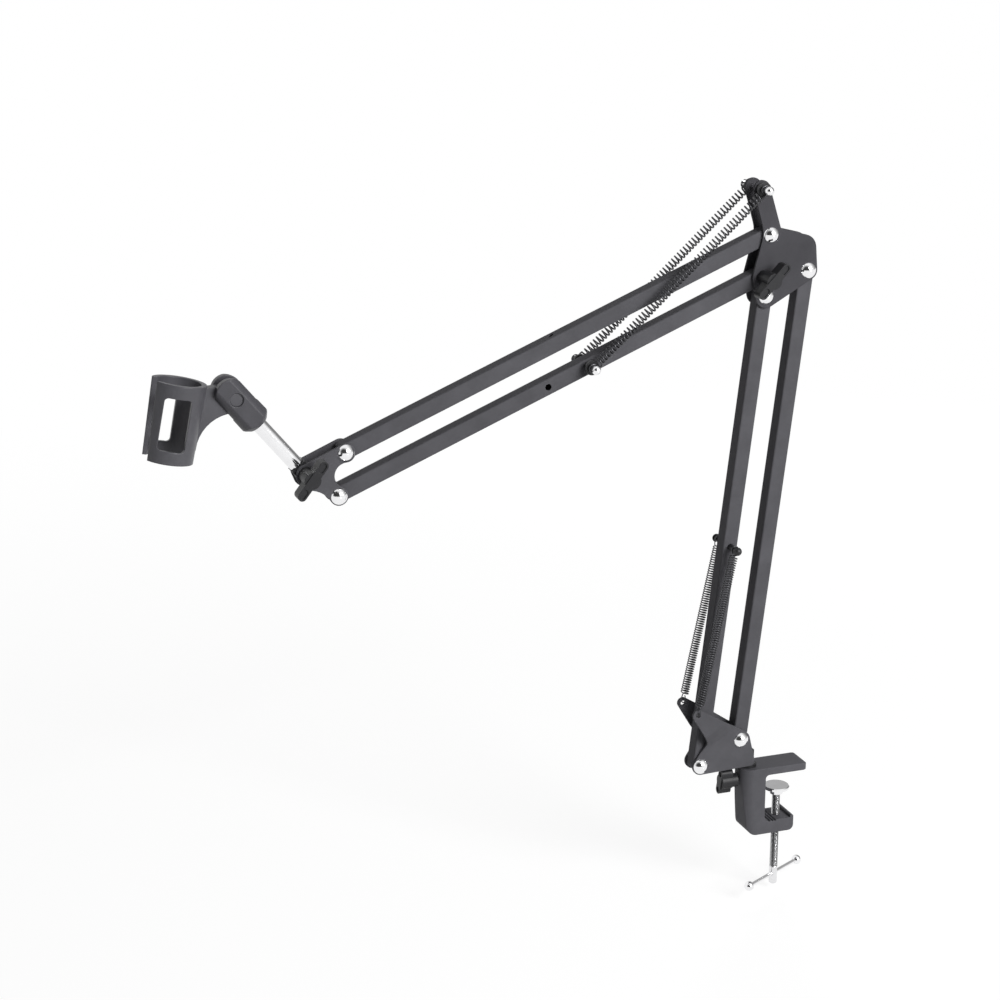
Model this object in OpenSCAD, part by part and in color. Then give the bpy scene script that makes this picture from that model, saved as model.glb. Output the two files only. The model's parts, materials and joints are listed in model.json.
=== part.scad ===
// Desk-clamped suspension arm for a microphone: two spring-balanced double-bar arms,
// an elbow bracket with a spring horn, a front bracket, a tilting rod and a slotted clip.
// Origin: underside of the clamp's upper jaw, on the clamp screw's axis.
// X runs away from the clip, Y across the bars, Z up. Millimetres.

/* [Arms] */
// Side of the square tubes
bar_side = 11; // [8:0.5:14]
// Wall of the square tubes
bar_wall = 1; // [0.8:0.1:2]
// Outer corner radius of the square tubes
bar_corner = 1.2; // [0.4:0.1:1.8]
// Pivot to pivot length of the post bars
post_length = 342.4; // [250:0.1:420]
// Lean of the post away from the clip, degrees from vertical
post_lean = 6.6; // [0:0.1:12]
// Step from the left to the right post bar's pivot, along X
post_step_x = 31.3; // [28:0.1:40]
// Step from the left to the right post bar's pivot, along Z
post_step_z = 16; // [12:0.1:20]
// Pivot to pivot length of the boom bars
boom_length = 326; // [250:0.1:400]
// Rise of the boom towards the elbow, degrees
boom_rise = 22.54; // [12:0.01:30]
// Step from the lower to the upper boom bar's pivot, along X
boom_step_x = 5.2; // [4:0.1:10]
// Step from the lower to the upper boom bar's pivot, along Z
boom_step_z = 28.65; // [25:0.05:32]
// Spare hole in the boom bars, measured from the elbow pivots
spare_hole_at = 168; // [150:1:200]
// Radius of the spare hole
spare_hole_r = 2.2; // [1:0.1:3]

/* [Brackets] */
// Thickness of the bracket sheet
plate_t = 1.7; // [1.2:0.1:2.5]
// Free space between a bar's side and a bracket plate
plate_gap = 0.3; // [0.2:0.05:0.6]
// Radius of the pivot bolts
bolt_r = 2.5; // [2:0.1:3]
// Radial clearance of every turning pivot
pivot_clear = 0.06; // [0.03:0.01:0.1]
// Radial clearance of fixed bolts and pins in their holes
fixed_clear = 0.05; // [0.02:0.01:0.1]
// Radius of the domed bolt heads
head_r = 5.8; // [5:0.1:7]
// Height of the domed bolt heads
head_h = 3.6; // [2:0.1:5]
// Height of the nuts
nut_h = 4; // [3:0.1:5]
// Width across the corners of the nuts, as a radius
nut_r = 4.6; // [4:0.1:5.5]
// Elbow's upper boom pivot from its left post pivot, along X
elbow_shift = 2.3; // [0:0.1:4]
// Height of the elbow's upper boom pivot over its left post pivot
elbow_rise = 41.9; // [38:0.1:46]
// Horn pin's place from the upper boom pivot, along X
horn_x = -8.3; // [-10:0.1:-5]
// Horn pin's place from the upper boom pivot, along Z
horn_z = 31.5; // [28:0.1:40]
// Rod pivot's place from the lower front pivot, along X
tilt_x = -21.9; // [-28:0.1:-19]
// Rod pivot's place from the lower front pivot, along Z
tilt_z = 16.8; // [14:0.1:20]
// Spring hole of the base ears from the left post pivot, along X
ear_x = -6.3; // [-8:0.1:-4]
// Spring hole of the base ears from the left post pivot, along Z
ear_z = 42.5; // [38:0.5:48]
// Radius of the ears round their spring holes
ear_r = 4; // [3:0.1:5]
// Radius of the ears' spring holes
ear_hole_r = 1.8; // [1.2:0.1:2.4]
// How far the base ears are cranked outwards
ear_crank = 6.5; // [5:0.5:9]

/* [Springs] */
// Outer radius of the boom springs
boom_spring_r = 3.4; // [3:0.1:5]
// Wire diameter of the boom springs
boom_wire = 1; // [0.8:0.1:1.4]
// Curls of each boom spring
boom_curls = 24; // [12:1:26]
// Distance of the boom springs from the middle plane
boom_spring_y = 12.9; // [12:0.1:16]
// Boom spring pin's place on the lower boom bar, from the elbow pivot
boom_pin_at = 136.5; // [115:0.1:145]
// Outer radius of the post springs
post_spring_r = 3.3; // [2.8:0.1:4]
// Wire diameter of the post springs
post_wire = 0.9; // [0.6:0.1:1.1]
// Curls of each post spring
post_curls = 18; // [10:1:20]
// Post spring pin's place on the left post bar, from the base pivot
post_pin_at = 164; // [140:1:200]
// Radius of the spring pins
spring_pin_r = 2.2; // [1.8:0.1:2.6]
// Radius of the spring pins' end caps
pin_cap_r = 3.2; // [2.8:0.1:4]
// Radius of the post spring pin's end caps
post_cap_r = 3; // [2.6:0.1:4]
// Thickness of the spring pins' end caps
pin_cap_h = 2.6; // [2:0.1:4]
// Radius of the collars on the spring pins' spacers
collar_r = 5; // [4.4:0.1:6]
// Length of the spring pins past the springs
pin_over = 2.6; // [1:0.1:4]
// Gap between a spring's end and what it hooks onto
spring_seat = 0.3; // [0.2:0.05:0.5]

/* [Knobs] */
// Length of the wing knobs' bars
wing_length = 30; // [22:1:34]
// Thickness of the wing knobs' bars
wing_width = 6; // [5:0.5:8]
// Depth of the wing knobs' bars
wing_depth = 9; // [6:0.5:12]
// Radius of the boss in the middle of a wing knob
boss_r = 5.5; // [5:0.1:7]
// Depth of the recess in each wing
wing_recess = 0.8; // [0.4:0.1:1.5]
// Rim round the recess in each wing
wing_rim = 1.2; // [0.8:0.1:1.6]
// Radius of the wing knobs' stems
stem_r = 5; // [4.5:0.1:6]
// Length of the wing knobs' stems
stem_length = 9; // [6:0.5:14]
// Radius of the wing knobs' studs
stud_r = 3; // [2.6:0.1:3.4]
// Turn of the elbow knob's bar, degrees from X
elbow_knob_turn = 46; // [0:1:90]
// Turn of the front knob's bar, degrees from X
front_knob_turn = 52; // [0:1:90]

/* [Rod and clip] */
// Radius of the chrome rod
rod_r = 5; // [4:0.1:6]
// Direction of the rod, degrees from X
rod_turn = 129.6; // [110:0.1:150]
// Distance between the rod's tilt pivot and the clip's pivot
rod_reach = 69.1; // [60:0.1:90]
// Radius of the rod's toothed hub
hub_r = 6; // [5.6:0.1:8]
// Depth of the hub's teeth
hub_tooth = 0.7; // [0.4:0.1:1]
// Where the hub's neck ends, from the tilt pivot
neck_to = 6.8; // [6.6:0.1:12]
// Radius of the rod's tenon in the hub
tenon_r = 3; // [2.4:0.1:3.6]
// Half width of the knuckle
knuckle_r = 10.3; // [9:0.1:12]
// How far the knuckle's round end lies past the clip's pivot
knuckle_over = 5; // [0:0.5:7]
// Half depth of the knuckle across its cheeks
knuckle_y = 9.2; // [8.4:0.1:9.4]
// Length of the knuckle below the clip's pivot
knuckle_drop = 24; // [22:0.5:32]
// Half thickness of the clip's tongue
tongue_y = 4; // [3:0.1:5]
// Side clearance of the tongue
tongue_gap = 0.25; // [0.15:0.05:0.4]
// Radius of the clip pivot screw's cap
cap_r = 4.4; // [3.8:0.1:5]
// How far the cap is sunk in its recess
cap_sunk = 0.9; // [0.2:0.1:1.2]
// Depth of the cap's recess
cap_depth = 2.2; // [1.6:0.1:2.6]
// Bore radius of the clip
clip_bore_r = 14.3; // [12:0.1:16]
// Wall of the clip at its lower end
clip_wall = 2.2; // [1.8:0.1:3]
// Extra wall of the clip at its upper end
clip_flare = 1.2; // [0.4:0.1:2]
// Height of the clip
clip_height = 51; // [44:1:60]
// Tilt of the clip, degrees
clip_tilt = 11.2; // [0:0.1:20]
// Clip's middle from its pivot, along X
clip_x = -39.3; // [-48:0.1:-38]
// Clip's middle from its pivot, along Z
clip_z = -11.9; // [-16:0.1:-8]
// Width of the clip's open slit
slit_w = 16; // [8:0.5:18]
// Width of the clip's side windows
window_w = 17; // [12:0.5:18]
// Middle of the clip's front window, along X
window_shift = -2; // [-3:0.1:1]
// How much narrower the back window is
window_step = 3; // [0:0.5:5]
// Height of the clip's side windows
window_h = 34; // [26:1:36]

/* [Clamp] */
// Width of the clamp along Y
clamp_w = 21; // [19:0.5:28]
// Reach of the upper jaw past the screw
jaw_reach = 19.7; // [14:0.1:26]
// Thickness of the upper jaw
jaw_t = 5.4; // [5:0.1:8]
// Distance between the jaws
throat_h = 36.4; // [32:0.1:46]
// Thickness of the lower jaw
lower_jaw_t = 9.8; // [8:0.1:12]
// Reach of the lower jaw past the screw
lower_reach = 9.5; // [8:0.1:12]
// Distance from the screw to the column's inner face
throat_x = 14.1; // [12.5:0.1:18]
// Thickness of the column
column_t = 18.5; // [17.5:0.1:24]
// Height of the lip at the lower jaw's end
lip_h = 2.2; // [1:0.1:3]
// Thickness of the lip at the lower jaw's end
lip_t = 2.6; // [2:0.1:4]
// Depth of the grooves across the lower jaw
groove_depth = 0.9; // [0.5:0.1:1.5]
// Radius of the clamp screw
screw_r = 3; // [2.6:0.1:3.6]
// Length of the clamp screw below the lower jaw
screw_drop = 45.8; // [36:0.1:60]
// Pressure disc's top below the upper jaw
pad_gap = 13.5; // [6:0.5:20]
// Radius of the pressure disc
pad_r = 9.5; // [8:0.1:11]
// Thickness of the pressure disc
pad_t = 2.2; // [1.6:0.1:3]
// Radius of the pressure disc's hub
pad_hub_r = 5; // [4.4:0.1:6]
// Depth of the pressure disc's hub
pad_hub_h = 4; // [3:0.5:6]
// Radius of the cross bar
tommy_r = 1.5; // [1.2:0.1:1.8]
// Distance between the cross bar's ball ends
tommy_length = 60; // [50:1:70]
// Radius of the cross bar's ball ends
tommy_ball_r = 3.6; // [3:0.1:4.5]
// Cross bar's place above the screw's lower end
tommy_up = 7.5; // [6:0.5:12]
// Turn of the cross bar, degrees from X
tommy_turn = 28; // [0:1:90]
// Radius of the swivel spigot
spigot_r = 4.5; // [4:0.1:5]
// Depth of the swivel spigot in the column
spigot_depth = 22; // [16:0.5:28]
// Distance from the clamp screw to the swivel axis
swivel_x = 24.3; // [23:0.1:28]
// Left post pivot from the swivel axis, along X
base_x = -40.7; // [-48:0.1:-38]
// Left post pivot above the upper jaw's underside
base_z = 13.2; // [12:0.1:20]
// Space between the clamp and the base bracket
swivel_gap = 2.6; // [2:0.1:5]
// Length of the swivel lock's wing bar
lock_length = 20; // [16:1:22]
// Length of the swivel lock's stem
lock_stem = 4.5; // [3:0.5:9]
// Swivel lock's axis below the clamp's top
lock_drop = 10; // [9.5:0.5:16]
// Turn of the swivel lock's wing bar about its axis
lock_turn = 75; // [0:1:90]

/* [Hidden] */
$fn = 64;

// Colours
paint = [0.30, 0.30, 0.31];
chrome = [0.80, 0.80, 0.82];
black = [0.12, 0.12, 0.13];
plastic = [0.25, 0.25, 0.27];
wire_grey = [0.22, 0.22, 0.23];

// Pivots in the middle plane, as X and Z pairs
swivel = [-swivel_x, 0];
clamp_top = jaw_t;
post_dir = [sin(post_lean), cos(post_lean)];
boom_dir = [-cos(boom_rise), -sin(boom_rise)];
post_step = [post_step_x, post_step_z];
boom_step = [boom_step_x, boom_step_z];
base_left = [swivel.x + base_x, base_z];
base_right = base_left + post_step;
elbow_left = base_left + post_length * post_dir;
elbow_right = elbow_left + post_step;
elbow_top = elbow_left + [elbow_shift, elbow_rise];
elbow_low = elbow_top - boom_step;
front_top = elbow_top + boom_length * boom_dir;
front_low = front_top - boom_step;
horn = elbow_top + [horn_x, horn_z];
tilt = front_low + [tilt_x, tilt_z];
rod_dir = [cos(rod_turn), sin(rod_turn)];
clip_pivot = tilt + rod_reach * rod_dir;
clip_mid = clip_pivot + [clip_x, clip_z];
ear = base_left + [ear_x, ear_z];
post_pin = base_left + post_pin_at * post_dir;
boom_pin = elbow_low + boom_pin_at * boom_dir;

// Planes across the bars
bar_y = bar_side / 2;
plate_in = bar_y + plate_gap;
plate_out = plate_in + plate_t;
ear_in = plate_in + ear_crank;
ear_y = ear_in + plate_t / 2;
head_y = plate_out + head_h;
nut_y = plate_out + nut_h;
pin_end_y = boom_spring_y + boom_spring_r + pin_over;
post_pin_end_y = ear_y + post_spring_r + 1;

// Heading of the straight run from one outline circle to the next
function heading(a, b) =
    atan2(b.y - a.y, b.x - a.x) + asin((a[2] - b[2]) / norm([b.x - a.x, b.y - a.y]));

// Turn along a circle, anticlockwise round a lobe and clockwise round a hollow
function turn(from, to, r) =
    r > 0 ? (to - from + 720) % 360 : -((from - to + 720) % 360);

// Outline that runs round circles in anticlockwise order; a negative radius is a hollow
function outline(circles) = [
    for (i = [0 : len(circles) - 1])
        let (
            c = circles[i],
            before = circles[(i + len(circles) - 1) % len(circles)],
            after = circles[(i + 1) % len(circles)],
            h0 = heading(before, c),
            sweep = turn(h0, heading(c, after), c[2]),
            steps = max(2, ceil(abs(sweep) / 9))
        )
        for (k = [0 : steps])
            let (h = h0 + sweep * k / steps)
            [c.x + c[2] * sin(h), c.y - c[2] * cos(h)]
];

function round_at(p, r) = [p.x, p.y, r];

// Hollow that touches two lobes in turn; outside lies right of the way from a to b
function hollow(a, b, r) =
    let (
        slack = 1.0001,
        way = [b.x - a.x, b.y - a.y],
        d = norm(way),
        to_a = (a[2] + r) * slack,
        to_b = (b[2] + r) * slack,
        s = (d * d + to_a * to_a - to_b * to_b) / (2 * d),
        h = sqrt(to_a * to_a - s * s)
    )
    [a.x + (way.x * s + way.y * h) / d, a.y + (way.y * s - way.x * h) / d, -r];

// Shape in the X Z plane, filled between two planes across the bars
module slab(y0, y1) {
    translate([0, y1, 0])
        rotate([90, 0, 0])
            linear_extrude(y1 - y0)
                children();
}

// Round bar across the arms at a pivot
module across(p, r, y0, y1) {
    translate([p.x, y1, p.y])
        rotate([90, 0, 0])
            cylinder(r = r, h = y1 - y0);
}

// Revolved shape about a pivot's axis; the profile's height points to the front
module turned(p, y = 0) {
    translate([p.x, y, p.y])
        rotate([90, 0, 0])
            rotate_extrude()
                children();
}

// Domed head of a pivot bolt, seated on the front plate
module dome(r, h) {
    sphere_r = (r * r + h * h) / (2 * h);
    intersection() {
        square([r, h]);
        translate([0, h - sphere_r])
            circle(sphere_r);
    }
}

module pivot_bolt(p) {
    turned(p, -plate_out) dome(head_r, head_h);
    across(p, bolt_r, -plate_out, nut_y);
}

module pivot_nut(p) {
    translate([p.x, nut_y, p.y])
        rotate([90, 0, 0])
            difference() {
                cylinder(r = nut_r, h = nut_h, $fn = 6);
                translate([0, 0, -1])
                    cylinder(r = bolt_r + fixed_clear, h = nut_h + 2);
            }
}

// Square tube with round ends and rounded corners, along X from its first pivot
module tube_bar(length, holes) {
    half = bar_side / 2;
    corner = half - bar_corner;
    inner = half - bar_wall;
    difference() {
        intersection() {
            slab(-half, half)
                polygon(outline([[0, 0, half], [length, 0, half]]));
            translate([-half, 0, 0])
                rotate([90, 0, 90])
                    linear_extrude(length + bar_side)
                        polygon(outline([
                            for (q = [[-1, -1], [1, -1], [1, 1], [-1, 1]])
                                [q.x * corner, q.y * corner, bar_corner]
                        ]));
        }
        translate([-bar_side, -inner, -inner])
            cube([length + 2 * bar_side, 2 * inner, 2 * inner]);
        for (h = holes)
            across([h[0], 0], h[1], -bar_side, bar_side);
    }
}

module place_bar(p, angle) {
    translate([p.x, 0, p.y])
        rotate([0, -angle, 0])
            children();
}

pivot_hole_r = bolt_r + pivot_clear;
stud_hole_r = stud_r + pivot_clear;
pin_hole_r = spring_pin_r + fixed_clear;

module post_bar_left() {
    color(paint)
        place_bar(base_left, 90 - post_lean)
            tube_bar(post_length, [[0, pivot_hole_r], [post_length, pivot_hole_r],
                                   [post_pin_at, pin_hole_r]]);
}

module post_bar_right() {
    color(paint)
        place_bar(base_right, 90 - post_lean)
            tube_bar(post_length, [[0, pivot_hole_r], [post_length, pivot_hole_r]]);
}

module boom_bar_upper() {
    color(paint)
        place_bar(elbow_top, 180 + boom_rise)
            difference() {
                tube_bar(boom_length, [[0, pivot_hole_r], [boom_length, pivot_hole_r]]);
                translate([spare_hole_at, 0, -bar_side])
                    cylinder(r = spare_hole_r, h = bar_side);
            }
}

module boom_bar_lower() {
    color(paint)
        place_bar(elbow_low, 180 + boom_rise)
            tube_bar(boom_length, [[0, stud_hole_r], [boom_length, pivot_hole_r],
                                   [boom_pin_at, pin_hole_r],
                                   [spare_hole_at, spare_hole_r]]);
}

// Elbow bracket: lobes round its pivots and shoulder, hollows at its neck and behind its horn
horn_lobe_r = 6;
neck_x = 26.3;
neck_z = 1.3;
neck_r = 20;
elbow_lobe_r = 8;
elbow_right_r = 6.6;
shoulder_x = 4.6;
shoulder_z = 15.2;
shoulder_r = 9.8;
crook_x = 8.9;
crook_z = 5.9;
crook_r = 2.5;
elbow_outline = outline([
    round_at(horn, horn_lobe_r),
    round_at(elbow_top + [-neck_x, neck_z], -neck_r),
    round_at(elbow_low, elbow_lobe_r),
    round_at(elbow_left, elbow_lobe_r),
    round_at(elbow_right, elbow_right_r),
    round_at(elbow_right + [-shoulder_x, shoulder_z], shoulder_r),
    round_at(elbow_top + [crook_x, crook_z], -crook_r)
]);

module elbow_plate(y0) {
    difference() {
        slab(y0, y0 + plate_t)
            polygon(elbow_outline);
        for (p = [elbow_top, elbow_left, elbow_right])
            across(p, bolt_r + fixed_clear, y0 - 1, y0 + plate_t + 1);
        across(elbow_low, stud_hole_r, y0 - 1, y0 + plate_t + 1);
        across(horn, pin_hole_r, y0 - 1, y0 + plate_t + 1);
    }
}

module elbow_plate_front() {
    color(paint) elbow_plate(-plate_out);
}

module elbow_plate_back() {
    color(paint) elbow_plate(plate_in);
}

module elbow_pivot_bolts() {
    color(chrome)
        for (p = [elbow_top, elbow_left, elbow_right])
            pivot_bolt(p);
}

module elbow_pivot_nuts() {
    color(chrome)
        for (p = [elbow_top, elbow_left, elbow_right])
            pivot_nut(p);
}

// Spring pin with a domed cap at each end, lying across the arms
module spring_pin(p, end_y, end_r) {
    across(p, spring_pin_r, -end_y, end_y);
    both_sides()
        turned(p, -end_y)
            dome(end_r, pin_cap_h);
}

// Spacer sleeve with a collar that keeps the spring's hook in place
module pin_spacer(p, y0, y1) {
    collar = 1.6;
    sleeve_r = spring_pin_r + 1.4;
    difference() {
        union() {
            across(p, sleeve_r, y0, y1);
            across(p, collar_r, y0, y0 + collar);
        }
        across(p, pin_hole_r, y0 - 1, y1 + 1);
    }
}

module both_sides() {
    children();
    mirror([0, 1, 0]) children();
}

hook_y = boom_spring_y - boom_spring_r / 2;

module horn_spring_pin() {
    color(chrome) spring_pin(horn, pin_end_y, pin_cap_r);
}

module horn_pin_spacers() {
    color(black)
        both_sides() pin_spacer(horn, -hook_y, -plate_out);
}

module boom_spring_pin() {
    color(chrome) spring_pin(boom_pin, pin_end_y, pin_cap_r);
}

module boom_pin_spacers() {
    color(black)
        both_sides() pin_spacer(boom_pin, -hook_y, -bar_y);
}

module post_spring_pin() {
    color(black) spring_pin(post_pin, post_pin_end_y, post_cap_r);
}

// Wing knob on a stem; its axis is the pivot's, its bar turned in the X Z plane
module wing_knob(p, y, bar_length, bar_turn, stem) {
    end_r = wing_width / 2;
    reach = bar_length / 2 - end_r;
    least_recess = 0.5;
    recess_r = end_r - wing_rim;
    recess_from = min(boss_r + end_r, reach - least_recess);
    translate([p.x, y, p.y])
        rotate([0, -bar_turn, 0]) {
            across([0, 0], stem_r, -stem, 0);
            across([0, 0], boss_r, -stem - wing_depth + wing_recess, -stem);
            difference() {
                slab(-stem - wing_depth, -stem)
                    polygon(outline([[-reach, 0, end_r], [reach, 0, end_r]]));
                for (way = [-1, 1])
                    slab(-stem - wing_depth - 1, -stem - wing_depth + wing_recess)
                        polygon(outline([
                            [way * recess_from, 0, recess_r],
                            [way * reach, 0, recess_r]
                        ]));
            }
        }
}

// Stud with a hexagonal head at the back; its tip ends in the knob's stem
module knob_stud(p) {
    across(p, stud_r, -plate_out - stem_length + 1, plate_out);
    translate([p.x, plate_out + nut_h, p.y])
        rotate([90, 0, 0])
            cylinder(r = nut_r + 0.6, h = nut_h, $fn = 6);
}

module knob_bore(p) {
    across(p, stud_hole_r, -plate_out - stem_length, -plate_out + 1);
}

module elbow_knob() {
    color(black)
        difference() {
            wing_knob(elbow_low, -plate_out, wing_length, elbow_knob_turn, stem_length);
            knob_bore(elbow_low);
        }
}

module elbow_knob_stud() {
    color(chrome) knob_stud(elbow_low);
}

// Front bracket: lobes round its pivots and chin, hollows under the chin and between the bars
front_lobe_r = 6.3;
tilt_lobe_r = 6.5;
chin_x = 1.5;
chin_z = 5;
chin_r = 6;
chin_hollow_r = 18;
front_hollow_r = 8.6;
front_top_lobe = round_at(front_top, front_lobe_r);
front_low_lobe = round_at(front_low, front_lobe_r);
tilt_lobe = round_at(tilt, tilt_lobe_r);
chin_lobe = round_at(tilt + [chin_x, -chin_z], chin_r);
front_outline = outline([
    front_top_lobe,
    tilt_lobe,
    chin_lobe,
    hollow(chin_lobe, front_low_lobe, chin_hollow_r),
    front_low_lobe,
    hollow(front_low_lobe, front_top_lobe, front_hollow_r)
]);

module front_plate(y0) {
    difference() {
        slab(y0, y0 + plate_t)
            polygon(front_outline);
        for (p = [front_top, front_low])
            across(p, bolt_r + fixed_clear, y0 - 1, y0 + plate_t + 1);
        across(tilt, stud_hole_r, y0 - 1, y0 + plate_t + 1);
    }
}

module front_plate_front() {
    color(paint) front_plate(-plate_out);
}

module front_plate_back() {
    color(paint) front_plate(plate_in);
}

module front_pivot_bolts() {
    color(chrome)
        for (p = [front_top, front_low])
            pivot_bolt(p);
}

module front_pivot_nuts() {
    color(chrome)
        for (p = [front_top, front_low])
            pivot_nut(p);
}

module front_knob() {
    color(black)
        difference() {
            wing_knob(tilt, -plate_out, wing_length, front_knob_turn, stem_length);
            knob_bore(tilt);
        }
}

module front_knob_stud() {
    color(chrome) knob_stud(tilt);
}

// Frame along the rod: Z runs up the rod from the tilt pivot
module along_rod() {
    translate([tilt.x, 0, tilt.y])
        rotate([0, 90 - rod_turn, 0])
            children();
}

hub_teeth = 26;
tenon_from = stud_r + 1.6;

module rod_hub() {
    color(black)
        along_rod()
            difference() {
                union() {
                    slab(-bar_y, bar_y)
                        polygon([
                            for (k = [0 : 2 * hub_teeth - 1])
                                let (r = k % 2 == 0 ? hub_r : hub_r - hub_tooth)
                                r * [cos(180 * k / hub_teeth), sin(180 * k / hub_teeth)]
                        ]);
                    translate([-rod_r - 0.4, -bar_y, 0])
                        cube([2 * rod_r + 0.8, bar_side, neck_to]);
                }
                across([0, 0], stud_hole_r, -bar_side, bar_side);
                translate([0, 0, tenon_from])
                    cylinder(r = tenon_r + fixed_clear, h = neck_to);
            }
}

knuckle_from = rod_reach - knuckle_drop;
slot_floor = rod_reach - knuckle_r - 2;

module mic_rod() {
    color(chrome)
        along_rod()
            rotate_extrude()
                polygon([[0, tenon_from], [tenon_r, tenon_from], [tenon_r, neck_to],
                         [rod_r - 0.4, neck_to], [rod_r, neck_to + 0.4],
                         [rod_r, slot_floor - 3], [0, slot_floor - 3]]);
}

module clip_knuckle() {
    edge = 4;
    waist = 0.5;
    barrel_r = knuckle_r + 0.3;
    end_r = knuckle_r - 3;
    color(plastic)
        along_rod()
            difference() {
                intersection() {
                    slab(-knuckle_y, knuckle_y)
                        polygon(outline([
                            [-knuckle_r + edge, knuckle_from + edge, edge],
                            [knuckle_r - edge, knuckle_from + edge, edge],
                            [0, rod_reach + knuckle_over, knuckle_r - waist]
                        ]));
                    rotate_extrude()
                        polygon([[0, 0], [end_r, knuckle_from], [barrel_r - 0.8, knuckle_from + 2.6],
                                 [barrel_r, knuckle_from + edge], [barrel_r, rod_reach + 2 * knuckle_r],
                                 [0, rod_reach + 2 * knuckle_r]]);
                }
                translate([-2 * knuckle_r, -tongue_y - tongue_gap, slot_floor])
                    cube([4 * knuckle_r, 2 * (tongue_y + tongue_gap), 4 * knuckle_r]);
                cylinder(r = rod_r + fixed_clear, h = slot_floor - 2);
                across([0, rod_reach], bolt_r + fixed_clear, -2 * knuckle_y, 2 * knuckle_y);
                across([0, rod_reach], cap_r + fixed_clear, -2 * knuckle_y, -knuckle_y + cap_depth);
                across([0, rod_reach], cap_r + fixed_clear, knuckle_y - cap_depth, 2 * knuckle_y);
            }
}

module clip_pivot_screw() {
    color(plastic) {
        across(clip_pivot, cap_r, -knuckle_y + cap_sunk, -knuckle_y + cap_depth);
        across(clip_pivot, bolt_r, -knuckle_y + (cap_sunk + cap_depth) / 2, knuckle_y - cap_depth);
    }
}

module clip_pivot_nut() {
    color(plastic)
        across(clip_pivot, cap_r, knuckle_y - cap_depth, knuckle_y - cap_sunk);
}

// Clip: a slit tube with a window in each side and a tongue to its pivot
module clip_body() {
    outer_low = clip_bore_r + clip_wall;
    outer_high = outer_low + clip_flare;
    half = clip_height / 2;
    corner = 2.5;
    tongue_end_r = knuckle_r - 1;
    tongue_hollow_r = 26;
    root_high_in = 3.5;
    root_low_in = 9;
    root_r = 1;
    slit_axis = [cos(clip_tilt), -sin(clip_tilt)];
    up = [sin(clip_tilt), cos(clip_tilt)];
    wall_mid = clip_bore_r + clip_wall / 2;
    tongue_end = round_at(clip_pivot, tongue_end_r);
    root_high = round_at(clip_mid + wall_mid * slit_axis + (half - root_high_in) * up, root_r);
    root_low = round_at(clip_mid + wall_mid * slit_axis - (half - root_low_in) * up, root_r);
    tongue_hollow = hollow(root_low, tongue_end, tongue_hollow_r);
    color(plastic)
        difference() {
            union() {
                translate([clip_mid.x, 0, clip_mid.y])
                    rotate([0, clip_tilt, 0])
                        translate([0, 0, -half])
                            cylinder(r1 = outer_low, r2 = outer_high, h = clip_height);
                slab(-tongue_y, tongue_y)
                    polygon(outline([tongue_end, root_high, root_low, tongue_hollow]));
            }
            translate([clip_mid.x, 0, clip_mid.y])
                rotate([0, clip_tilt, 0]) {
                    translate([0, 0, -clip_height])
                        cylinder(r = clip_bore_r, h = 2 * clip_height);
                    translate([-2 * outer_high, -slit_w / 2, -clip_height])
                        cube([2 * outer_high, slit_w, 2 * clip_height]);
                    for (side = [-1, 1])
                        slab(side < 0 ? -2 * outer_high : 0, side < 0 ? 0 : 2 * outer_high)
                            polygon(outline([
                                for (q = [[-1, -1], [1, -1], [1, 1], [-1, 1]])
                                    [window_shift + q.x * (window_w / 2 - corner)
                                         - (side > 0 && q.x > 0 ? window_step : 0),
                                     q.y * (window_h / 2 - corner), corner]
                            ]));
                }
            across(clip_pivot, pivot_hole_r, -2 * tongue_y, 2 * tongue_y);
        }
}

// Base bracket: a plate with a cranked ear for the spring's hook
base_foot = clamp_top + swivel_gap;
base_hollow_x = 0.8;
base_hollow_z = 18;
base_hollow_r = 4;
base_left_drop = 1.2;
base_toe_in = 1.5;
base_toe_r = 3.5;
base_right_r = 7;
base_outline = outline([
    round_at(ear, ear_r),
    round_at(base_left + [-base_hollow_x, base_hollow_z], -base_hollow_r),
    round_at(base_left, base_left.y - base_foot + base_left_drop),
    round_at([swivel.x - base_toe_in, base_foot + base_toe_r], base_toe_r),
    round_at(base_right, base_right_r)
]);
crank_turn = 31;

// Sheet bent outwards: its section runs up from the fold and across, swept along the fold
module cranked_sheet() {
    far = 80;
    fold = 10;
    run = 12;
    bend = plate_t / 2;
    translate([base_left.x, 0, base_left.y])
        rotate([0, -90 - crank_turn, 0])
            linear_extrude(2 * far, center = true)
                polygon([
                    [-far, plate_in], [fold, plate_in], [fold + run, ear_in], [far, ear_in],
                    [far, ear_in + plate_t], [fold + run - bend, ear_in + plate_t],
                    [fold - bend, plate_out], [-far, plate_out]
                ]);
}

module base_plate() {
    difference() {
        intersection() {
            slab(plate_in - 1, ear_in + plate_t + 1)
                polygon(base_outline);
            cranked_sheet();
        }
        for (p = [base_left, base_right])
            across(p, bolt_r + fixed_clear, plate_in - 1, plate_out + 1);
        across(ear, ear_hole_r, plate_in, ear_in + plate_t + 1);
    }
}

module base_plate_back() {
    color(paint) base_plate();
}

module base_plate_front() {
    color(paint) mirror([0, 1, 0]) base_plate();
}

module base_pivot_bolts() {
    color(chrome)
        for (p = [base_left, base_right])
            pivot_bolt(p);
}

module base_pivot_nuts() {
    color(chrome)
        for (p = [base_left, base_right])
            pivot_nut(p);
}

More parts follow.
